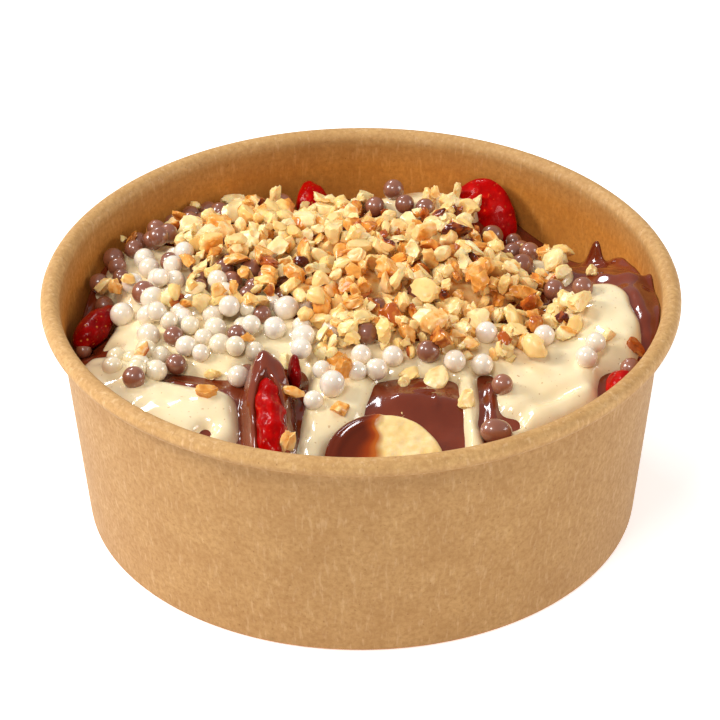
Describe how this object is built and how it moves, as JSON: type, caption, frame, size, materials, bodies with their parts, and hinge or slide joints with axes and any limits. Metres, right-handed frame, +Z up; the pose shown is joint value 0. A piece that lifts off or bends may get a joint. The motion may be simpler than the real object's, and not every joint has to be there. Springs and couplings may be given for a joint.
{
  "type": "pancake bowl",
  "caption": "Paper dessert bowl with a rolled rim, filled with pancakes under milk and white chocolate sauce, chopped nuts, chocolate pearls, strawberries and banana.",
  "frame": {"origin": "centre of the foot ring, on the surface the bowl stands on", "axes": "+Z up out of the bowl; -Y is the front, where the banana slice lies; +X to the right seen from the front"},
  "size_m": [0.15, 0.15, 0.0597],
  "materials": {
    "kraft_paper": "uncoated brown kraft with fine fibres, faint sheen inside",
    "milk_chocolate": "wet glossy milk chocolate sauce; stands in for food",
    "white_chocolate": "thick glossy white chocolate sauce; stands in for food",
    "chopped_nuts": "roasted chopped hazelnuts, pale cut faces and toasted skins; stands in for food",
    "white_pearls": "pearly white chocolate balls; stands in for food",
    "milk_pearls": "satin milk chocolate balls; stands in for food",
    "strawberry": "wet strawberry flesh; stands in for food",
    "banana": "moist cut banana; stands in for food"
  },
  "bodies": {
    "root": {"bowl_wall": "kraft_paper", "bowl_base": "kraft_paper", "pancakes": "milk_chocolate", "white_sauce": "white_chocolate", "white_sauce_back": "white_chocolate", "nut_heap": "chopped_nuts", "strawberry_front": "strawberry", "strawberry_sliver": "strawberry", "strawberry_left": "strawberry", "strawberry_back_right": "strawberry", "strawberry_back": "strawberry", "strawberry_right": "strawberry", "banana_slice": "banana"}
  },
  "joints": []
}
